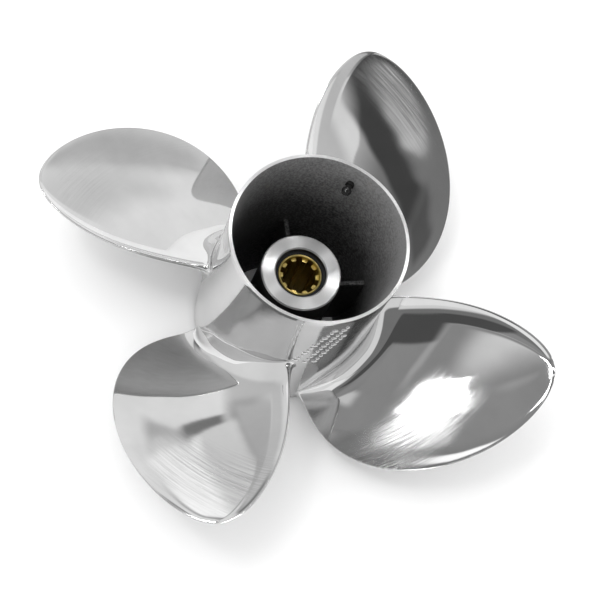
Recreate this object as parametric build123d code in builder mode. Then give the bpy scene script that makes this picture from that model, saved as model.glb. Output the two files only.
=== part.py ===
"""Four-blade through-hub-exhaust boat propeller, in millimetres.

The propeller stands on the forward end of its hub: +Z points aft, towards the open end of the
barrel, and the origin is the centre of the forward end. Blade 1 leaves the barrel towards +X.
"""
import os
from math import atan, atan2, cos, exp, hypot, pi, radians, sin, sqrt

from build123d import *

# Barrel
HUB_LENGTH = 130.0
RIM_OUTER_R = 54.5
RIM_INNER_R = 52.0
NECK_OUTER_R, NECK_Z = 53.4, 105.0
WAIST_OUTER_R, WAIST_Z = 53.2, 80.0
BODY_OUTER_R, BODY_Z = 53.8, 45.0
SHOULDER_OUTER_R, SHOULDER_Z = 52.8, 20.0
FRONT_OUTER_R = 51.8
FRONT_FILLET = 1.5
PASSAGE_R = 44.0
PASSAGE_FRONT_Z = 20.0
FRONT_OPENING_R = 37.5
FRONT_OPENING_DEPTH = 8.0
RIM_EDGE = 0.6

# Inner hub, carried by the ribs
INNER_HUB_R = 24.75
INNER_HUB_FRONT_Z = 4.0
INNER_HUB_AFT_Z = 79.0
BORE_LIP_R = 15.7
BORE_LIP_LENGTH = 6.0
RUBBER_CHAMBER_R = 19.5
INNER_HUB_EDGE = 0.8

# Ribs
RIB_COUNT = 4
RIB_THICKNESS = 3.0
RIB_ANGLE = 46.0
RIB_FRONT_Z = 8.0
RIB_AFT_Z = 60.0
RIB_EDGE = 0.8
RIB_OVERRUN = 8.0

# Torsional rubber and splined sleeve
SLEEVE_R = 13.5
SLEEVE_CLEARANCE = 0.05
SLEEVE_FRONT_Z = 6.0
SLEEVE_AFT_Z = 75.5
SLEEVE_EDGE = 0.5
SPLINE_ROOT_R = 12.0
FRONT_PILOT_R = 12.4
FRONT_PILOT_DEPTH = 8.0
AFT_PILOT_DEPTH = 2.5
SPLINE_TEETH = 10
SPLINE_CREST_R = 10.0
SPLINE_CREST_WIDTH = 2.6
SPLINE_ROOT_WIDTH = 4.0
SPLINE_START_ANGLE = 3.0
RUBBER_FRONT_Z = 8.0
RUBBER_NECK_Z = 75.0

# Vent plug in the barrel wall
PLUG_ANGLE = 102.2
PLUG_Z = 115.0
PLUG_STEM_R = 2.0
PLUG_HEAD_R = 3.0
PLUG_TIP_R = 42.0
PLUG_HEAD_TAPER = 0.6
PLUG_CONE_LENGTH = 1.6
PLUG_BAND_LENGTH = 1.4
PLUG_COLLAR_R = 2.7
PLUG_COLLAR_START = 48.0
PLUG_COLLAR_LENGTH = 1.2
PLUG_OUTER_R = 53.6
PLUG_DRILL_OVERRUN = 2.0

# Blades
BLADE_COUNT = 4
TIP_R = 168.5
ROOT_R = 56.0
BLADE_SPAN = TIP_R - ROOT_R
ROOT_Z = 35.4
PITCH_ROOT = 280.0
PITCH_FALL = 12.0
CUP = 3.4
CUP_START = 0.90
HOLLOW = 2.4
EDGE_THICKNESS = 2.3
ROOT_THICKNESS = 9.0
TIP_THICKNESS = 2.8
ROOT_FLARE = 4.5
ROOT_FLARE_REACH = 5.5
SWEEP = (4.0, 7.8, 6.8)
HALF_WIDTH = (34.7, 4.2, -10.3, -4.9)
RAKE = (12.0, 9.1)
SECTION_LEAN = 8.0
FIRST_SECTION = 36.0
LAST_SECTION_GAP = 0.15
SECTION_COUNT = 13
CHORD_POINTS = 11
CROWN_SEARCH = 0.6
OUTLINE_END = 1.75
SEARCH_STEPS = 60


def span_fraction(radius):
    """0 at the blade root, 1 at the tip."""
    return (radius - ROOT_R) / BLADE_SPAN


def outline_angle(side):
    """Angle and radius of the blade edge; side runs from the leading edge (< 0) to the
    trailing edge (> 0), with the tip at 0."""
    t = cos(side)
    sweep = SWEEP[0] * t + SWEEP[1] * t**2 + SWEEP[2] * t**3
    half_width = HALF_WIDTH[0] + HALF_WIDTH[1] * t + HALF_WIDTH[2] * t**2 + HALF_WIDTH[3] * t**3
    return radians(sweep + sin(side) * half_width), ROOT_R + BLADE_SPAN * t


def outline_reach(side):
    """Distance of a blade-edge point from the axis, measured along the section normal."""
    angle, radius = outline_angle(side)
    return radius * cos(angle - radians(SECTION_LEAN))


def farthest_side():
    """Where on the outline the blade reaches farthest along the section normal."""
    low, high = -CROWN_SEARCH, CROWN_SEARCH
    for _ in range(SEARCH_STEPS):
        third = (high - low) / 3
        if outline_reach(low + third) < outline_reach(high - third):
            low += third
        else:
            high -= third
    return (low + high) / 2


def edge_across(distance, direction, crown):
    """Sideways position of the blade edge in the section plane at this distance."""
    near, far = crown, direction * OUTLINE_END
    for _ in range(SEARCH_STEPS):
        middle = (near + far) / 2
        if outline_reach(middle) > distance:
            near = middle
        else:
            far = middle
    angle, radius = outline_angle(near)
    return radius * sin(angle - radians(SECTION_LEAN))


def face_height(radius, angle, along):
    """Height of the aft (pressure) face: a helix, raked, hollowed, cupped at the trailing edge."""
    t = span_fraction(radius)
    inside = min(max(t, 0.0), 1.0)
    lead = (PITCH_ROOT - PITCH_FALL * t) / (2 * pi)
    height = ROOT_Z + RAKE[0] * t + RAKE[1] * t**2 + lead * angle
    height -= HOLLOW * sqrt(1 - inside**2) * fullness(along)
    cup_part = max(0.0, (along - CUP_START) / (1 - CUP_START))
    return height + CUP * sqrt(sin(pi * inside)) * cup_part**2


def fullness(along):
    """0 at both edges of a blade section, 1 at its middle."""
    return 4 * along * (1 - along)


def thickness(radius, along):
    t = min(span_fraction(radius), 1.0)
    middle = TIP_THICKNESS + (ROOT_THICKNESS - TIP_THICKNESS) * (1 - t) ** 1.5
    return EDGE_THICKNESS + (middle - EDGE_THICKNESS) * fullness(along)


def section_points(distance, crown):
    """Aft-face and forward-face points of one section, each leading to trailing edge."""
    leading = edge_across(distance, -1, crown)
    trailing = edge_across(distance, 1, crown)
    aft, forward = [], []
    for step in range(CHORD_POINTS):
        along = (1 - cos(pi * step / (CHORD_POINTS - 1))) / 2
        across = leading + (trailing - leading) * along
        radius = hypot(distance, across)
        angle = atan2(across, distance) + radians(SECTION_LEAN)
        height = face_height(radius, angle, along)
        slope = atan((PITCH_ROOT - PITCH_FALL * span_fraction(radius)) / (2 * pi * radius))
        flare = ROOT_FLARE * exp(-max(0.0, radius - BODY_OUTER_R) / ROOT_FLARE_REACH)
        above = EDGE_THICKNESS / 2 + flare
        below = thickness(radius, along) - EDGE_THICKNESS / 2 + flare
        aft.append((across - above * sin(slope), height + above * cos(slope)))
        forward.append((across + below * sin(slope), height - below * cos(slope)))
    return aft, forward


def barrel_outline():
    """Outer profile of the barrel, from the forward end to the rim."""
    return [
        (FRONT_OUTER_R, 0),
        (SHOULDER_OUTER_R, SHOULDER_Z),
        (BODY_OUTER_R, BODY_Z),
        (WAIST_OUTER_R, WAIST_Z),
        (NECK_OUTER_R, NECK_Z),
        (RIM_OUTER_R, HUB_LENGTH),
    ]


def barrel_lining():
    """Inner profile of the barrel, from the rim to the forward end."""
    return [
        (RIM_INNER_R, HUB_LENGTH),
        (PASSAGE_R, RIB_AFT_Z),
        (PASSAGE_R, PASSAGE_FRONT_Z),
        (FRONT_OPENING_R, FRONT_OPENING_DEPTH),
        (FRONT_OPENING_R, 0),
    ]


def spline_tooth():
    """One internal spline tooth on the +X side, its root sunk into the sleeve wall."""
    sunk_r = (SPLINE_ROOT_R + SLEEVE_R) / 2
    return [
        (sunk_r, SPLINE_ROOT_WIDTH / 2),
        (SPLINE_CREST_R, SPLINE_CREST_WIDTH / 2),
        (SPLINE_CREST_R, -SPLINE_CREST_WIDTH / 2),
        (sunk_r, -SPLINE_ROOT_WIDTH / 2),
    ]


# Everything inside the outer skin of the barrel, used to trim the blade roots
with BuildPart() as barrel_core:
    with BuildSketch(Plane.XZ):
        with BuildLine():
            Spline(barrel_outline())
            Polyline((RIM_OUTER_R, HUB_LENGTH), (0, HUB_LENGTH), (0, 0), (FRONT_OUTER_R, 0))
        make_face()
    revolve(axis=Axis.Z)

# The hollow of the barrel, used to bore it and to shape the ribs
with BuildPart() as passage:
    with BuildSketch(Plane.XZ):
        with BuildLine():
            Polyline(barrel_lining() + [(0, 0), (0, HUB_LENGTH)], close=True)
        make_face()
    revolve(axis=Axis.Z)

plug_plane = Plane(
    origin=(0, 0, PLUG_Z),
    x_dir=(-sin(radians(PLUG_ANGLE)), cos(radians(PLUG_ANGLE)), 0),
    z_dir=(cos(radians(PLUG_ANGLE)), sin(radians(PLUG_ANGLE)), 0),
)

with BuildPart() as outer_barrel:
    add(barrel_core.part)
    fillet(outer_barrel.edges().group_by(Axis.Z)[0], FRONT_FILLET)
    add(passage.part, mode=Mode.SUBTRACT)
    chamfer(outer_barrel.edges().group_by(Axis.Z)[-1], RIM_EDGE)
    with BuildSketch(plug_plane.offset(PASSAGE_R)):
        Circle(PLUG_STEM_R)
    extrude(amount=RIM_OUTER_R - PASSAGE_R + PLUG_DRILL_OVERRUN, mode=Mode.SUBTRACT)
outer_barrel.part.label = "outer_barrel"

with BuildPart() as inner_hub:
    with BuildSketch(Plane.XY.offset(INNER_HUB_FRONT_Z)):
        Circle(INNER_HUB_R)
    extrude(amount=INNER_HUB_AFT_Z - INNER_HUB_FRONT_Z)
    with BuildSketch(Plane.XY.offset(INNER_HUB_FRONT_Z)):
        Circle(RUBBER_CHAMBER_R)
    extrude(amount=INNER_HUB_AFT_Z - BORE_LIP_LENGTH - INNER_HUB_FRONT_Z, mode=Mode.SUBTRACT)
    with BuildSketch(Plane.XY.offset(INNER_HUB_AFT_Z)):
        Circle(BORE_LIP_R)
    extrude(amount=-BORE_LIP_LENGTH, mode=Mode.SUBTRACT)
    chamfer(inner_hub.edges().group_by(Axis.Z)[-1], INNER_HUB_EDGE)
    chamfer(inner_hub.edges().group_by(Axis.Z)[0], INNER_HUB_EDGE)
inner_hub.part.label = "inner_hub"

ribs = []
for number in range(RIB_COUNT):
    with BuildPart() as rib:
        with BuildSketch(Plane.XY.offset(RIB_FRONT_Z)):
            with PolarLocations(
                (INNER_HUB_R + PASSAGE_R) / 2, 1, start_angle=RIB_ANGLE + number * 360 / RIB_COUNT
            ):
                Rectangle(PASSAGE_R - INNER_HUB_R + RIB_OVERRUN, RIB_THICKNESS)
        extrude(amount=RIB_AFT_Z - RIB_FRONT_Z)
        fillet(rib.edges().group_by(Axis.Z)[-1].group_by(SortBy.LENGTH)[-1], RIB_EDGE)
        add(passage.part, mode=Mode.INTERSECT)
        with Locations((0, 0, HUB_LENGTH / 2)):
            Cylinder(INNER_HUB_R, HUB_LENGTH, mode=Mode.SUBTRACT)
    rib.part.label = f"rib_{number + 1}"
    ribs.append(rib)

with BuildPart() as rubber_bushing:
    with BuildSketch(Plane.XY.offset(RUBBER_FRONT_Z)):
        Circle(RUBBER_CHAMBER_R)
    extrude(amount=INNER_HUB_AFT_Z - BORE_LIP_LENGTH - RUBBER_FRONT_Z)
    with BuildSketch(Plane.XY.offset(RUBBER_FRONT_Z)):
        Circle(BORE_LIP_R)
    extrude(amount=RUBBER_NECK_Z - RUBBER_FRONT_Z)
    with BuildSketch(Plane.XY.offset(RUBBER_FRONT_Z)):
        Circle(SLEEVE_R + SLEEVE_CLEARANCE)
    extrude(amount=RUBBER_NECK_Z - RUBBER_FRONT_Z, mode=Mode.SUBTRACT)
rubber_bushing.part.label = "rubber_bushing"

with BuildPart() as drive_sleeve:
    with BuildSketch(Plane.XY.offset(SLEEVE_FRONT_Z)):
        Circle(SLEEVE_R)
        Circle(SPLINE_ROOT_R, mode=Mode.SUBTRACT)
    extrude(amount=SLEEVE_AFT_Z - SLEEVE_FRONT_Z)
    chamfer(drive_sleeve.edges().group_by(Axis.Z)[-1], SLEEVE_EDGE)
    with BuildSketch(Plane.XY.offset(SLEEVE_FRONT_Z)):
        Circle(FRONT_PILOT_R)
    extrude(amount=FRONT_PILOT_DEPTH, mode=Mode.SUBTRACT)
    with BuildSketch(Plane.XY.offset(SLEEVE_FRONT_Z + FRONT_PILOT_DEPTH)):
        with PolarLocations(0, SPLINE_TEETH, start_angle=SPLINE_START_ANGLE):
            Polygon(*spline_tooth(), align=None)
    extrude(amount=SLEEVE_AFT_Z - AFT_PILOT_DEPTH - SLEEVE_FRONT_Z - FRONT_PILOT_DEPTH)
drive_sleeve.part.label = "drive_sleeve"

# Snap-in plug: stem through the wall, collar and barbed inner end
with BuildPart() as vent_plug:
    with BuildSketch(plug_plane.offset(PLUG_TIP_R)):
        Circle(PLUG_HEAD_R - PLUG_HEAD_TAPER)
    with BuildSketch(plug_plane.offset(PLUG_TIP_R + PLUG_CONE_LENGTH)):
        Circle(PLUG_HEAD_R)
    loft()
    with BuildSketch(plug_plane.offset(PLUG_TIP_R + PLUG_CONE_LENGTH)):
        Circle(PLUG_HEAD_R)
    extrude(amount=PLUG_BAND_LENGTH)
    with BuildSketch(plug_plane.offset(PLUG_TIP_R)):
        Circle(PLUG_STEM_R)
    extrude(amount=PLUG_OUTER_R - PLUG_TIP_R)
    with BuildSketch(plug_plane.offset(PLUG_COLLAR_START)):
        Circle(PLUG_COLLAR_R)
    extrude(amount=PLUG_COLLAR_LENGTH)
vent_plug.part.label = "vent_plug"

crown = farthest_side()
reach = outline_reach(crown) - LAST_SECTION_GAP
with BuildPart() as blade_blank:
    for station in range(SECTION_COUNT):
        distance = FIRST_SECTION + (reach - FIRST_SECTION) * sin(pi / 2 * station / (SECTION_COUNT - 1))
        aft, forward = section_points(distance, crown)
        lean = radians(SECTION_LEAN)
        section_plane = Plane(
            origin=(distance * cos(lean), distance * sin(lean), 0),
            x_dir=(-sin(lean), cos(lean), 0),
            z_dir=(cos(lean), sin(lean), 0),
        )
        with BuildSketch(section_plane):
            with BuildLine():
                Spline(aft)
                Line(aft[-1], forward[-1])
                Spline(forward[::-1])
                Line(forward[0], aft[0])
            make_face()
    loft()
    add(barrel_core.part, mode=Mode.SUBTRACT)

blades = []
for number in range(BLADE_COUNT):
    with BuildPart() as blade:
        with Locations(Location((0, 0, 0), (0, 0, number * 360 / BLADE_COUNT))):
            add(blade_blank.part)
    blade.part.label = f"blade_{number + 1}"
    blades.append(blade)

os.makedirs("parts", exist_ok=True)
for piece in [outer_barrel, inner_hub, *ribs, rubber_bushing, drive_sleeve, vent_plug, *blades]:
    export_step(piece.part, f"parts/{piece.part.label}.step")
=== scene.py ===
"""The looks of the boat propeller: smooth cast blades and barrel, procedural metal, soft studio light."""
import math

import bpy
import numpy as np
from mathutils import Matrix, Vector


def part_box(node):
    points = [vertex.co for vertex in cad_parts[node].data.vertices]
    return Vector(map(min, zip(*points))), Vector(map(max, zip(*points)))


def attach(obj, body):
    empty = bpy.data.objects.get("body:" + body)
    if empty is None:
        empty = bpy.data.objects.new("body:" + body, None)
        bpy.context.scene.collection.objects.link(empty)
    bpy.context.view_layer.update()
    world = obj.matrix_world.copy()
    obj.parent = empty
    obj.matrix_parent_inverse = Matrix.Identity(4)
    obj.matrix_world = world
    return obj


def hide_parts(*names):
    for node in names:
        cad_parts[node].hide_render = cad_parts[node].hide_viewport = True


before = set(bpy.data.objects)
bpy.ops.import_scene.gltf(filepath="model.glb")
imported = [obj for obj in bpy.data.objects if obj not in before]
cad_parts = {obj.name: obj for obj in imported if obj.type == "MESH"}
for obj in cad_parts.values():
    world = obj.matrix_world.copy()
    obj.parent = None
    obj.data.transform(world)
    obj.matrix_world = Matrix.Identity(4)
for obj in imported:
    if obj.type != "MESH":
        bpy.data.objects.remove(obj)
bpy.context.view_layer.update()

# Shapes are in millimetres about the shaft axis Z, and new_object turns them into metres
MM = 0.001
HUB_LENGTH = 130.0

# Blades: t runs from 0 at ROOT_R to 1 at TIP_R, and each tuple holds the coefficients of a polynomial in t
BLADE_COUNT = 4
TIP_R, ROOT_R = 168.5, 56.0
SPAN = TIP_R - ROOT_R
SWEEP = (0.0, 4.0, 7.8, 6.8)
HALF_WIDTH = (34.7, 4.2, -10.3, -4.9)
RAKE = (35.4, 12.0, 9.1)
PITCH = (280.0, -12.0)
CUP, CUP_START = 3.4, 0.90
HOLLOW = 2.4
EDGE_THICKNESS, TIP_THICKNESS, ROOT_THICKNESS = 2.3, 2.8, 9.0
THICKNESS_FADE = 1.5
EDGE_ROUND = 0.988
SAMPLES, RINGS = 97, 120

# The foot of a blade: its rings start just inside the barrel and flare into a fillet, which shrinks
# towards both edges and near the floor; up to FAIRING above the foot they still follow the barrel
FOOT_R, FOOT_SINK = 53.6, 0.4
FILLET, FILLET_STEPS = 15.0, 14
EDGE_FILLET, FILLET_TAPER = 0.28, 0.4
FLOOR_CLEARANCE, LEAST_ROOM = 1.5, 0.1
FAIRING = 45.0

# The barrel's outside is a smooth curve through these (r, z) points, and its inside is straight runs
BARREL_OUTER = [(51.8, 0.0), (52.8, 20.0), (53.8, 45.0), (53.2, 80.0), (53.4, 105.0), (54.5, HUB_LENGTH)]
BARREL_INNER = [(52.0, HUB_LENGTH), (44.0, 60.0), (44.0, 20.0), (37.5, 8.0), (37.5, 0.0)]
BARREL_SAMPLES, AROUND = 120, 256
CHAMFER_WIDTH, CHAMFER_HEIGHT = 0.3, 0.5
SHARP_ANGLE = 30

# Beads on the barrel, along paths of (degrees about the axis, z)
BEAD_STEPS, BEAD_SINK, BEAD_BLUNTNESS, LEAST_WIDTH = 12, 0.4, 0.25, 0.05
BEAD_ANGLES = np.radians([-85, -60, -30, 0, 30, 60, 85])
BEAD_SECTION = [(-1, 0)] + [(math.sin(a), math.cos(a)) for a in BEAD_ANGLES] + [(1, 0)]
SEAM_PATH = [(31.5, 63.0), (29.6, 82.0), (28.2, 102.0), (26.2, 123.0)]
SEAM_WIDTH, SEAM_HEIGHT = 1.1, 0.28
# Plain raised bars: where each row starts, and how many bars it has. Each millimetre up a row goes
# BAR_SLANT degrees round, and each along a bar goes BAR_TURN degrees round and BAR_DROP millimetres down
BAR_ROWS = [(307.0, 70.0, 13), (313.6, 68.0, 14), (320.2, 68.0, 10)]
BAR_PITCH, BAR_SLANT = 3.9, 0.316
BAR_LENGTH, BAR_WIDTH, BAR_HEIGHT = 4.4, 1.7, 0.8
BAR_TURN, BAR_DROP = 1.02, 0.3
LENGTH_CHANGE, LENGTH_RHYTHM = 0.25, 2.1

# Materials are in metres. Brushing left on each blade: its strength, inner radius and outer radius
BRUSHING = [(1.0, 0.098, 0.130), (0.5, 0.140, 0.175), (0.3, 0.115, 0.155), (0.6, 0.122, 0.158)]
INNER_FADE, OUTER_FADE = 0.010, 0.008
BRUSHED_UP_TO = (0.065, 0.085)
STROKE_SHEAR, LEAST_ROUGHNESS = 0.21, 0.04
FINE_STROKES, BROAD_STROKES = (26.0, 1000.0), (12.0, 300.0)
# Painted shade in the barrel and on the ribs: the noise along its edge, and how fast it lightens towards +X,
# where light falls
SHADE_CLOUDS, SHADE_TILT = 0.03, 0.40
# Painted shade on the inner hub: it is bright down to FACE_DEPTH below its face, and painted dark from there
# on
FACE_DEPTH, FACE_BLEND, PAINTED_SHADE_GREY = 0.0008, 0.0004, 0.05
STEEL, RIM_STEEL, BRASS = (0.69, 0.69, 0.69), (0.80, 0.80, 0.80), (0.72, 0.56, 0.19)
RUBBER, PLUG = (0.004, 0.004, 0.004), (0.006, 0.006, 0.006)
# How much darker and rougher grooves are than the metal, and how much lighter and rougher speckles are
GROOVE_TONE, GROOVE_ROUGHNESS = 0.85, 1.5
SPECKLE_TONE, SPECKLE_ROUGHNESS = 1.6, 1.3

# Studio: radiance of the room as the metal reflects it, and of the backdrop as everything else sees it
ROOM, BACKDROP = 0.24, 1.15
FLOOR_HALF = 4.0
# Cards reflected in the metal, later ones over earlier ones:
# azimuth, elevation, roll, half width and half height in degrees, softness, radiance
CARDS = [
    (92, -6, 0, 58, 35, 0.03, 1.06),
    (240, 60, 0, 62, 13, 0.15, 0.35),
    (240, 8, 0, 72, 24, 0.08, 0.95),
    (-18, 8, 0, 32, 20, 0.08, 0.95),
    (103, 68, 0, 55, 15, 0.15, 1.05),
    (85, 39, 0, 51, 11, 0.3, 0.88),
    (75, 32.5, -25, 9, 3.5, 0.8, 0.64),
    (94, 24, 0, 9, 6, 0.7, 0.84),
    (44, 39, 0, 10.5, 10.5, 0.04, 0.98),
    (30, 24, 0, 22, 14, 0.2, 0.72),
    (147, 32, 0, 9, 5, 0.2, 0.9),
    (168, 31, 0, 13, 8, 0.2, 0.6),
    (168, 14, 0, 18, 9, 0.4, 0.72),
    (137, 22, 0, 16, 5.5, 0.25, 1.05),
    (131, 32, 0, 10, 4, 0.2, 1.4),
    (131, 28.1, 6, 6.5, 0.75, 0.4, 0.58),
    (143.5, 27.4, -8, 7.5, 1.1, 0.3, 0.24),
    (256, 69.5, 0, 19, 2.8, 0.85, 0.85),
    (175.5, 54, 0, 2.6, 1.6, 0.3, 1.6),
    (260, 59.4, 3, 21, 0.9, 0.7, 0.52),
    (220.5, 46.5, 0, 7, 2.8, 0.5, 0.75),
    (202, 73, 0, 18, 4, 0.2, 0.5),
    (286, 50, 0, 12, 10, 0.15, 0.1),
    (277, 28, -18, 34, 6.5, 0.12, 1.15),
    (-13, 65.0, -10, 10, 2.6, 0.4, 0.12),
    (18, 55.0, -20, 22, 2.9, 0.3, 0.07),
    (12, 63.0, -24, 18, 1.4, 0.4, 0.75),
    # Small strong cards for the two bright wedges on the turned hub face
    (149.7, 57.4, 0, 7, 4, 0.2, 34.0),
    (47, 75, 0, 10, 2.6, 0.2, 16.0),
]
# The bearing where the map of azimuths wraps round, and where two equal cards meet
SEAM_BEARING = -50.0

CAMERA_AT = Vector((0.14727, -0.63804, 1.38736))
CAMERA_RIGHT = Vector((0.76110, 0.61281, 0.21258))
CAMERA_UP = Vector((-0.64183, 0.66415, 0.38338))
SENSOR_WIDTH, FOCAL_LENGTH, CLIP_END = 36.0, 145.6842, 50.0


# ---------------------------------------------------------------- curves and meshes

def polynomial(coefficients, t):
    return sum(c * t**power for power, c in enumerate(coefficients))


def smoothstep(x):
    return x * x * (3 - 2 * x)


def through(points, count):
    """Natural cubic curve through (r, z) points, by chord length."""
    p = np.array(points, float)
    knots = np.concatenate([[0], np.cumsum(np.hypot(*np.diff(p, axis=0).T))])
    h = np.diff(knots)
    n = len(p)
    a = np.eye(n)
    rhs = np.zeros((n, 2))
    for i in range(1, n - 1):
        a[i, i - 1:i + 2] = h[i - 1], 2 * (h[i - 1] + h[i]), h[i]
        rhs[i] = 6 * ((p[i + 1] - p[i]) / h[i] - (p[i] - p[i - 1]) / h[i - 1])
    m = np.linalg.solve(a, rhs)
    at = np.linspace(0, knots[-1], count)
    k = np.clip(np.searchsorted(knots, at, side="right") - 1, 0, n - 2)
    left, right = (knots[k + 1] - at)[:, None], (at - knots[k])[:, None]
    hk = h[k][:, None]
    return ((m[k] * left**3 + m[k + 1] * right**3) / (6 * hk)
            + (p[k] / hk - m[k] * hk / 6) * left + (p[k + 1] / hk - m[k + 1] * hk / 6) * right)


OUTER_CURVE = through(BARREL_OUTER, BARREL_SAMPLES)


def barrel_radius(z):
    """Outer radius of the barrel at height z."""
    return np.interp(z, OUTER_CURVE[:, 1], OUTER_CURVE[:, 0])


def around_axis(radius, angle, z):
    """Points at a radius, an angle about Z in radians and a height."""
    return np.stack(np.broadcast_arrays(radius * np.cos(angle), radius * np.sin(angle), z), -1)


def grid_faces(rows, columns, closed=False):
    """Quads of a grid of points whose columns join up all round, and its rows too if it is closed."""
    faces = []
    for i in range(rows if closed else rows - 1):
        n = (i + 1) % rows
        for j in range(columns):
            k = (j + 1) % columns
            faces.append((i * columns + j, i * columns + k, n * columns + k, n * columns + j))
    return faces


def new_object(name, points, faces, materials, face_material=None, uv=None):
    """A smooth-shaded object from points in millimetres; uv gives each point's place in metres."""
    mesh = bpy.data.meshes.new(name)
    mesh.from_pydata((np.asarray(points) * MM).tolist(), [], faces)
    for material in materials:
        mesh.materials.append(material)
    mesh.polygons.foreach_set("use_smooth", [True] * len(mesh.polygons))
    if face_material is not None:
        mesh.polygons.foreach_set("material_index", face_material)
    if uv is not None:
        layer = mesh.uv_layers.new(name="strokes")
        loops = np.zeros(len(mesh.loops), int)
        mesh.loops.foreach_get("vertex_index", loops)
        layer.data.foreach_set("uv", np.asarray(uv, np.float32)[loops].ravel())
    mesh.update()
    piece = bpy.data.objects.new(name, mesh)
    bpy.context.scene.collection.objects.link(piece)
    return piece


# ---------------------------------------------------------------- blades

def both_sides(aft, forward):
    """Joins values along the aft side to those along the forward side, as one loop round a section."""
    return np.concatenate([aft, forward[-2:0:-1]])


def section_loop(t):
    """Closed loop of one blade section on the unrolled cylinder: (arc, height), aft side first."""
    radius = ROOT_R + SPAN * t
    span = max(t, 0.0)
    width = math.sqrt(1 - span**2)
    chord = -np.cos(np.linspace(0, math.pi, SAMPLES))
    along = (chord + 1) / 2
    angle = np.radians(polynomial(SWEEP, t) + chord * width * polynomial(HALF_WIDTH, t))
    lead = polynomial(PITCH, t) / (2 * math.pi)
    belly = 4 * along * (1 - along)
    cup = np.clip((along - CUP_START) / (1 - CUP_START), 0, 1) ** 2
    height = polynomial(RAKE, t) + lead * angle
    height += CUP * math.sqrt(math.sin(math.pi * span)) * cup
    height -= HOLLOW * width * belly
    middle_thickness = TIP_THICKNESS + (ROOT_THICKNESS - TIP_THICKNESS) * (1 - t) ** THICKNESS_FADE
    thickness = EDGE_THICKNESS + (middle_thickness - EDGE_THICKNESS) * belly
    sunk = (thickness - EDGE_THICKNESS) / 2
    outwards = np.sqrt((chord * width) ** 2 + span**2)
    edge = np.clip((outwards - EDGE_ROUND) / (1 - EDGE_ROUND), 0, 1)
    half = thickness / 2 * np.sqrt(1 - edge**2)
    slope = math.atan(lead / radius)
    across, up = math.sin(slope), math.cos(slope)
    arc = radius * angle
    aft = np.stack([arc - (half - sunk) * across, height + (half - sunk) * up], 1)
    forward = np.stack([arc + (half + sunk) * across, height - (half + sunk) * up], 1)
    return both_sides(aft, forward), radius


def push_out(loop, distance):
    """Offsets a closed loop outwards by a distance given for each of its points."""
    step = np.roll(loop, -1, 0) - np.roll(loop, 1, 0)
    normal = np.stack([step[:, 1], -step[:, 0]], 1)
    normal /= np.linalg.norm(normal, axis=1)[:, None]
    area = np.sum(loop[:, 0] * np.roll(loop[:, 1], -1) - np.roll(loop[:, 0], -1) * loop[:, 1])
    return loop + normal * distance[:, None] * (1 if area > 0 else -1)


def ring_heights():
    """Heights of a blade's rings above FOOT_R: one sunk ring, the fillet, then out to the tip."""
    fillet = [FILLET * (1 - math.cos(math.pi / 2 * i / FILLET_STEPS)) for i in range(FILLET_STEPS + 1)]
    first = math.asin((FOOT_R + FILLET - ROOT_R) / SPAN)
    turns = [first + (math.pi / 2 - first) * i / RINGS for i in range(1, RINGS)]
    return [-FOOT_SINK] + fillet + [ROOT_R + SPAN * math.sin(turn) - FOOT_R for turn in turns]


def flare(loop, height, taper):
    """Widens a section of the foot into the round fillet, less at its edges and near the floor."""
    rise = max(height, 0.0)
    spread = FILLET - math.sqrt(FILLET**2 - (FILLET - rise) ** 2)
    room = np.clip((loop[:, 1] - FLOOR_CLEARANCE) / FILLET, LEAST_ROOM, 1)
    room[:SAMPLES] = 1
    return push_out(loop, spread * taper * room)


def blade(number, materials):
    """One blade, polished on its aft face and ground on its forward face, faired into the barrel."""
    turn = math.radians(360 / BLADE_COUNT * (number - 1))
    along = (1 - np.cos(np.linspace(0, math.pi, SAMPLES))) / 2
    inset = smoothstep(np.clip(np.minimum(along, 1 - along) / FILLET_TAPER, 0, 1))
    taper = EDGE_FILLET + (1 - EDGE_FILLET) * inset
    points, uv = [], []
    for height in ring_heights():
        loop, radius = section_loop((FOOT_R + height - ROOT_R) / SPAN)
        if height < FILLET:
            loop = flare(loop, height, both_sides(taper, taper))
        arc, z = loop.T
        near = smoothstep(max(0.0, 1 - max(height, 0.0) / FAIRING))
        at = FOOT_R + height + near * (barrel_radius(z) - FOOT_R)
        points.append(around_axis(at, arc / radius + turn, z))
        stretch = math.hypot(1, PITCH[0] / (2 * math.pi * radius))
        uv.append(np.stack([arc * stretch, np.full(len(arc), radius)], 1) * MM)
    rows, columns = len(points), len(points[0])
    last = (rows - 1) * columns
    tip_cap = tuple(last + j for j in range(columns))
    aft_quads = SAMPLES - 1
    # Material 0 for the aft quads of each ring and the tip, and material 1 for the forward quads
    sides = ([0] * aft_quads + [1] * (columns - aft_quads)) * (rows - 1) + [0]
    piece = new_object(f"cast_blade_{number}", np.concatenate(points),
                       grid_faces(rows, columns) + [tip_cap], materials, sides, np.concatenate(uv))
    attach(piece, "propeller")
    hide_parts(f"blade_{number}")


# ---------------------------------------------------------------- barrel

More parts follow.
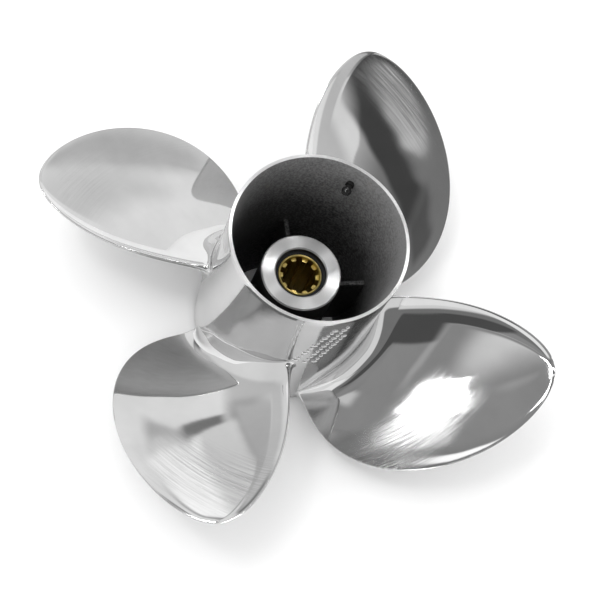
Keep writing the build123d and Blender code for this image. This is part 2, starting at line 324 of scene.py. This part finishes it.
def barrel(outside_metal, rim_metal, inside_metal):
    """The open exhaust barrel, turned about the axis, with its edges chamfered."""
    outside = [tuple(p) for p in OUTER_CURVE[2:-2]]
    (foot_r, _), (rim_r, top) = BARREL_OUTER[0], BARREL_OUTER[-1]
    (mouth_r, _), (opening_r, _) = BARREL_INNER[0], BARREL_INNER[-1]
    profile = outside + [(rim_r - CHAMFER_WIDTH, top), (mouth_r + CHAMFER_WIDTH, top),
                         (mouth_r, top - CHAMFER_HEIGHT)] + BARREL_INNER[1:-1]
    profile += [(opening_r, CHAMFER_HEIGHT), (opening_r + CHAMFER_WIDTH, 0.0), (foot_r - CHAMFER_HEIGHT, 0.0)]
    # One material for each side of the profile: outside, then the flat rim, then all the rest
    bands = [0] * len(outside) + [1] + [2] * (len(profile) - len(outside) - 1)
    profile = np.array(profile)
    turns = np.linspace(0, 2 * math.pi, AROUND, endpoint=False)
    points = around_axis(profile[:, :1], turns, profile[:, 1:]).reshape(-1, 3)
    piece = new_object("cast_barrel", points, grid_faces(len(profile), AROUND, closed=True),
                       [outside_metal, rim_metal, inside_metal], [band for band in bands for _ in turns])
    piece.data.set_sharp_from_angle(angle=math.radians(SHARP_ANGLE))
    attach(piece, "propeller")
    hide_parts("outer_barrel")


def bead(path, width, height):
    """Points and faces of a rounded bead laid on the barrel along a path of (degrees, z)."""
    steps, stations = np.linspace(0, 1, BEAD_STEPS), np.linspace(0, 1, len(path))
    degrees, z = (np.interp(steps, stations, values) for values in zip(*path))
    arc = np.stack([np.radians(degrees) * barrel_radius(z), z], 1)
    along = np.gradient(arc, axis=0)
    along /= np.linalg.norm(along, axis=1)[:, None]
    across = np.stack([along[:, 1], -along[:, 0]], 1)
    ends = np.sin(np.linspace(0, math.pi, BEAD_STEPS)) ** BEAD_BLUNTNESS
    points = []
    for side, lift in BEAD_SECTION:
        at = arc + across * side * width / 2 * np.maximum(ends, LEAST_WIDTH)[:, None]
        surface = barrel_radius(at[:, 1])
        rise = lift * height * ends if lift > 0 else -BEAD_SINK
        points.append(around_axis(surface + rise, at[:, 0] / surface, at[:, 1]))
    columns = len(BEAD_SECTION)
    caps = [tuple(range(columns))[::-1], tuple((BEAD_STEPS - 1) * columns + j for j in range(columns))]
    return np.stack(points, 1).reshape(-1, 3), grid_faces(BEAD_STEPS, columns) + caps


def beads(name, paths, width, height, material):
    """Several beads as one piece of the barrel."""
    points, faces = [], []
    for path in paths:
        more, sides = bead(path, width, height)
        first = sum(map(len, points))
        points.append(more)
        faces += [tuple(first + i for i in side) for side in sides]
    piece = new_object(name, np.concatenate(points), faces, [material])
    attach(piece, "propeller")


def bar_paths():
    """Paths of the plain raised bars, in slanting rows and of uneven length."""
    paths = []
    for degrees, z, count in BAR_ROWS:
        for i in range(count):
            here, level = degrees + BAR_SLANT * BAR_PITCH * i, z + BAR_PITCH * i
            half = BAR_LENGTH / 2 * (1 - LENGTH_CHANGE + LENGTH_CHANGE * math.cos(LENGTH_RHYTHM * i))
            turn, drop = half * BAR_TURN, half * BAR_DROP
            paths.append([(here - turn, level + drop), (here + turn, level - drop)])
    return paths


# ---------------------------------------------------------------- materials

class Nodes:
    """Adds nodes to one tree; a value is a constant or another node's output."""

    # A Mix node's first input, second input and result, by the kind of data that it mixes
    MIX_SOCKETS = {"FLOAT": (2, 3, 0), "RGBA": (6, 7, 2)}

    def __init__(self, tree):
        self.tree = tree

    def feed(self, socket, value):
        """Links another node's output to a socket, or sets the socket to a constant."""
        if isinstance(value, bpy.types.NodeSocket):
            self.tree.links.new(value, socket)
        else:
            socket.default_value = value

    def add(self, kind, inputs, **settings):
        """A new node; inputs gives values by socket name or number."""
        node = self.tree.nodes.new("ShaderNode" + kind)
        for key, value in settings.items():
            setattr(node, key, value)
        for key, value in inputs.items():
            self.feed(node.inputs[key], value)
        return node

    def math(self, operation, *values):
        return self.add("Math", dict(enumerate(values)), operation=operation).outputs[0]

    def product(self, first, *others):
        for other in others:
            first = self.math("MULTIPLY", first, other)
        return first

    def combine(self, *values):
        return self.add("CombineXYZ", dict(enumerate(values))).outputs[0]

    def split(self, vector):
        """The three parts of a vector."""
        return tuple(self.add("SeparateXYZ", {0: vector}).outputs)

    def position(self):
        """Place on the piece, in metres."""
        return self.add("TexCoord", {}).outputs["Object"]

    def noise(self, scale, detail, roughness=0.5, at=None):
        """Noise over the piece's own position, or over other coordinates."""
        vector = self.position() if at is None else at
        inputs = {"Vector": vector, "Scale": scale, "Detail": detail, "Roughness": roughness}
        return self.add("TexNoise", inputs).outputs[0]

    def spread(self, value, low, high, start=0.3, end=0.7):
        """Maps start..end of a value onto low..high."""
        inputs = {"Value": value, "From Min": start, "From Max": end, "To Min": low, "To Max": high}
        return self.add("MapRange", inputs).outputs[0]

    def mix(self, kind, factor, first, second):
        """First where the factor is 0, and second where it is 1."""
        low, high, result = self.MIX_SOCKETS[kind]
        node = self.add("Mix", {}, data_type=kind)
        self.feed(node.inputs["Factor"], factor)
        self.feed(node.inputs[low], first)
        self.feed(node.inputs[high], second)
        return node.outputs[result]

    def bump(self, height, distance, below=None):
        """A bump of this distance in metres, over another bump if one is given."""
        node = self.add("Bump", {"Height": height, "Distance": distance})
        if below is not None:
            self.feed(node.inputs["Normal"], below)
        return node.outputs[0]

    def ramp(self, value, start, dark, end, light):
        """Fades from a dark colour at start to a light one at end."""
        node = self.add("ValToRGB", {0: value})
        for element, at, colour in zip(node.color_ramp.elements, (start, end), (dark, light)):
            element.position = at
            element.color = (*colour, 1)
        return node.outputs[0]


class Finish(Nodes):
    """The nodes of a new material."""

    def __init__(self, name, metallic):
        self.material = bpy.data.materials.new(name)
        self.material.use_nodes = True
        super().__init__(self.material.node_tree)
        self.shader = self.tree.nodes["Principled BSDF"]
        self.set(metallic=metallic)

    def set(self, **values):
        """Feeds the shader's inputs: base_color feeds Base Color."""
        for key, value in values.items():
            self.feed(self.shader.inputs[key.replace("_", " ").title()], value)


def grey(level):
    return level, level, level


def polish(n):
    """The cloudy tone and faint waviness of hand-polished stainless."""
    tone = n.spread(n.noise(scale=30.0, detail=3.0), low=0.61, high=0.67, start=0.35, end=0.65)
    wave = n.bump(n.noise(scale=26.0, detail=1.0), distance=0.00016)
    return tone, wave


def polished_steel(name):
    """Hand-polished stainless with a fine even haze."""
    n = Finish(name, metallic=1.0)
    tone, wave = polish(n)
    grain = n.noise(scale=260.0, detail=4.0)
    n.set(base_color=n.combine(*grey(tone)))
    n.set(roughness=n.spread(grain, low=0.07, high=0.15))
    n.set(normal=n.bump(grain, distance=0.000006, below=wave))
    return n.material


def brushed_steel(name, strength, inner, outer):
    """Polished stainless with cloudy patches of finishing strokes between two radii."""
    n = Finish(name, metallic=1.0)
    tone, wave = polish(n)
    along, radius, _ = n.split(n.add("UVMap", {}, uv_map="strokes").outputs[0])
    across = n.math("SUBTRACT", radius, n.product(along, STROKE_SHEAR))

    def strokes(scales, detail, roughness):
        scaled = n.combine(n.product(along, scales[0]), n.product(across, scales[1]))
        return n.noise(scale=1.0, detail=detail, roughness=roughness, at=scaled)

    fine = strokes(FINE_STROKES, detail=3.0, roughness=0.6)
    broad = strokes(BROAD_STROKES, detail=2.0, roughness=0.5)
    starts = n.spread(radius, low=0, high=1, start=inner - INNER_FADE, end=inner + INNER_FADE)
    stops = n.spread(radius, low=1, high=0, start=outer - OUTER_FADE, end=outer + OUTER_FADE)
    ahead = n.spread(along, low=1, high=0, start=BRUSHED_UP_TO[0], end=BRUSHED_UP_TO[1])
    patches = n.spread(n.noise(scale=11.0, detail=2.0), low=0, high=1, start=0.42, end=0.6)
    worked = n.product(ahead, starts, stops, patches, strength)
    haze = n.product(n.spread(fine, low=0.05, high=0.32), worked)
    scratches = n.product(n.spread(fine, low=0, high=0.20, start=0.35, end=0.65), worked)
    n.set(base_color=n.combine(*grey(n.math("SUBTRACT", tone, scratches))))
    n.set(roughness=n.math("ADD", haze, LEAST_ROUGHNESS))
    n.set(normal=n.bump(fine, distance=0.0000022, below=n.bump(broad, distance=0.0000018, below=wave)))
    return n.material


def ground_steel(name):
    """Evenly ground stainless, duller than the polished faces."""
    n = Finish(name, metallic=1.0)
    grain = n.noise(scale=420.0, detail=5.0, roughness=0.6)
    n.set(base_color=n.ramp(grain, start=0.3, dark=grey(0.42), end=0.7, light=grey(0.48)))
    n.set(roughness=n.spread(grain, low=0.34, high=0.44))
    n.set(normal=n.bump(grain, distance=0.00001))
    return n.material


def blasted_steel(name):
    """Matt grey casting, blasted, with shade painted darker further in and towards -X."""
    n = Finish(name, metallic=0.4)
    cloud = n.noise(scale=45.0, detail=6.0, roughness=0.6)
    grit = n.noise(scale=700.0, detail=2.0, roughness=0.7)
    x, _, z = n.split(n.position())
    # Painted shade: darker further in and towards -X, lighter towards the rim and +X, over the grit's own
    # random tone
    outwards = n.math("ADD", n.math("ADD", z, n.product(cloud, SHADE_CLOUDS)), n.product(x, SHADE_TILT))
    painted_light_and_grit = n.math("ADD", n.spread(outwards, low=-0.11, high=0.75, start=0.080, end=0.150),
                   n.spread(grit, low=0, high=0.44, start=0.35, end=0.65))
    n.set(base_color=n.ramp(painted_light_and_grit, start=0, dark=grey(0.02), end=1, light=grey(0.28)))
    n.set(roughness=n.spread(grit, low=0.42, high=0.7))
    n.set(normal=n.bump(grit, distance=0.00012))
    return n.material


def turned_steel(name, colour, roughness, grooves, grain_turn=0.25, painted_shade_below=None):
    """Lathe-turned metal, with highlights stretched across fine rings; below a height it may have shade
    painted dark.
    """
    n = Finish(name, metallic=1.0)
    n.set(anisotropic=0.95, anisotropic_rotation=grain_turn)
    n.set(tangent=n.add("Tangent", {}, direction_type="RADIAL", axis="Z").outputs[0])
    x, y, z = n.split(n.position())
    radius = n.math("SQRT", n.math("ADD", n.product(x, x), n.product(y, y)))
    ring = n.noise(scale=grooves, detail=4.0, roughness=0.7, at=n.combine(radius))
    groove = tuple(c * GROOVE_TONE for c in colour)
    metal = n.ramp(ring, start=0.3, dark=groove, end=0.7, light=colour)
    # Painted shade: below the given height the metal is painted dark grey
    if painted_shade_below is not None:
        on_face = n.spread(z, low=0, high=1, start=painted_shade_below - FACE_BLEND, end=painted_shade_below)
        metal = n.mix("RGBA", on_face, (*grey(PAINTED_SHADE_GREY), 1), metal)
    n.set(base_color=metal)
    n.set(roughness=n.spread(ring, low=roughness, high=roughness * GROOVE_ROUGHNESS))
    n.set(normal=n.bump(ring, distance=0.000008))
    return n.material


def plain_moulding(name, colour, roughness, speckle):
    """Moulded rubber or plastic with a fine speckle."""
    n = Finish(name, metallic=0.0)
    grain = n.noise(scale=speckle, detail=4.0, roughness=0.6)
    lighter = tuple(c * SPECKLE_TONE for c in colour)
    n.set(base_color=n.ramp(grain, start=0.35, dark=colour, end=0.65, light=lighter))
    n.set(roughness=n.spread(grain, low=roughness, high=roughness * SPECKLE_ROUGHNESS))
    n.set(normal=n.bump(grain, distance=0.00002))
    return n.material


def pale_floor(name):
    """Plain studio floor with a barely visible cloudiness."""
    n = Finish(name, metallic=0.0)
    cloud = n.noise(scale=3.0, detail=2.0)
    n.set(base_color=n.ramp(cloud, start=0.3, dark=grey(0.91), end=0.7, light=grey(0.93)))
    n.set(roughness=0.7)
    return n.material


# ---------------------------------------------------------------- pieces

polished = polished_steel("polished_barrel")
blasted = blasted_steel("blasted_steel")
ground = ground_steel("ground_steel")
turned_rim = turned_steel("turned_rim", RIM_STEEL, roughness=0.30, grooves=3000.0)
turned_face = turned_steel("turned_hub_face", STEEL, roughness=0.30, grooves=2600.0,
                           painted_shade_below=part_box("inner_hub")[1][2] - FACE_DEPTH)
brass = turned_steel("brass", BRASS, roughness=0.34, grooves=2400.0, grain_turn=0.0)
rubber = plain_moulding("rubber", RUBBER, roughness=0.6, speckle=900.0)
plug = plain_moulding("plug", PLUG, roughness=0.12, speckle=1200.0)

for number, brushing in enumerate(BRUSHING, 1):
    blade(number, [brushed_steel(f"polished_blade_{number}", *brushing), ground])

barrel(polished, turned_rim, blasted)

seams = [[(degrees + 360 / BLADE_COUNT * k, z) for degrees, z in SEAM_PATH] for k in range(BLADE_COUNT)]
beads("trailing_seams", seams, SEAM_WIDTH, SEAM_HEIGHT, polished)
beads("raised_bars", bar_paths(), BAR_WIDTH, BAR_HEIGHT, polished)

finishes = {"inner_hub": turned_face, "rubber_bushing": rubber, "drive_sleeve": brass, "vent_plug": plug}
finishes.update({f"rib_{i}": blasted for i in range(1, 5)})
for node, material in finishes.items():
    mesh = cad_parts[node].data
    mesh.materials.clear()
    mesh.materials.append(material)


# ---------------------------------------------------------------- stage

def floor():
    corners = [(-FLOOR_HALF, -FLOOR_HALF, 0), (FLOOR_HALF, -FLOOR_HALF, 0),
               (FLOOR_HALF, FLOOR_HALF, 0), (-FLOOR_HALF, FLOOR_HALF, 0)]
    mesh = bpy.data.meshes.new("floor")
    mesh.from_pydata(corners, [], [(0, 1, 2, 3)])
    mesh.materials.append(pale_floor("pale_floor"))
    plane = bpy.data.objects.new("floor", mesh)
    bpy.context.scene.collection.objects.link(plane)


def heading(azimuth, elevation):
    """Direction from the propeller, with angles in degrees."""
    a, e = math.radians(azimuth), math.radians(elevation)
    return Vector((math.cos(a) * math.cos(e), math.sin(a) * math.cos(e), math.sin(e)))


def softbox(name, azimuth, elevation, roll, distance, width, height, radiance, reflected=True):
    """A rectangular area light facing the propeller; angles in degrees, sizes in metres."""
    data = bpy.data.lights.new(name, "AREA")
    data.shape = "RECTANGLE"
    data.size, data.size_y = width, height
    data.energy = radiance * math.pi * width * height
    lamp = bpy.data.objects.new(name, data)
    bpy.context.scene.collection.objects.link(lamp)
    towards = heading(azimuth, elevation)
    lamp.matrix_world = (Matrix.Translation(towards * distance)
                         @ towards.to_track_quat("Z", "Y").to_matrix().to_4x4()
                         @ Matrix.Rotation(math.radians(roll), 4, "Z"))
    lamp.visible_glossy = reflected


def card(n, sky, base, azimuth, elevation, roll, half_width, half_height, softness, radiance):
    """Mixes a rectangular card over base, at angles in degrees as seen from the propeller."""
    place = n.add("Mapping", {
        "Vector": sky,
        "Location": (math.radians(azimuth), math.radians(elevation), 0),
        "Rotation": (0, 0, math.radians(roll)),
        "Scale": (math.radians(half_width), math.radians(half_height), 1),
    }, vector_type="TEXTURE")
    size = n.add("VectorMath", {0: place.outputs[0]}, operation="ABSOLUTE")
    edges = {"From Min": 1 + softness, "From Max": 1 - softness}
    masks = [n.add("MapRange", {"Value": part, **edges}, interpolation_type="SMOOTHSTEP").outputs[0]
             for part in n.split(size.outputs[0])[:2]]
    return n.mix("FLOAT", n.product(*masks), base, radiance)


def studio():
    """A world of reflected cards, with an even bright backdrop for everything but reflections."""
    world = bpy.data.worlds.new("studio")
    bpy.context.scene.world = world
    world.use_nodes = True
    n = Nodes(world.node_tree)
    x, y, z = n.split(n.add("TexCoord", {}).outputs["Generated"])
    start = math.radians(SEAM_BEARING)
    bearing = n.math("WRAP", n.math("ARCTAN2", y, x), start + 2 * math.pi, start)
    sky = n.combine(bearing, n.math("ARCSINE", z))
    level = ROOM
    for shape in CARDS:
        level = card(n, sky, level, *shape)
    reflected = n.add("LightPath", {}).outputs["Is Glossy Ray"]
    background = world.node_tree.nodes["Background"]
    n.feed(background.inputs["Strength"], n.mix("FLOAT", reflected, BACKDROP, level))
    n.feed(background.inputs["Color"], (*grey(1.0), 1))


def camera():
    data = bpy.data.cameras.new("camera")
    data.sensor_width = SENSOR_WIDTH
    data.lens = FOCAL_LENGTH
    data.clip_end = CLIP_END
    viewer = bpy.data.objects.new("camera", data)
    bpy.context.scene.collection.objects.link(viewer)
    axes = Matrix((CAMERA_RIGHT, CAMERA_UP, CAMERA_RIGHT.cross(CAMERA_UP)))
    viewer.matrix_world = Matrix.Translation(CAMERA_AT) @ axes.transposed().to_4x4()
    bpy.context.scene.camera = viewer


floor()
softbox("key", azimuth=226, elevation=64.9, roll=14, distance=6.0, width=1.15, height=0.64, radiance=16.0)
softbox("key_tail", azimuth=199, elevation=60.5, roll=26, distance=6.0, width=1.3, height=0.31, radiance=5.0)
softbox("fill", azimuth=190, elevation=63, roll=0, distance=3.0, width=2.0, height=2.0, radiance=1.7,
        reflected=False)
studio()
camera()
bpy.context.scene.view_settings.view_transform = "Standard"
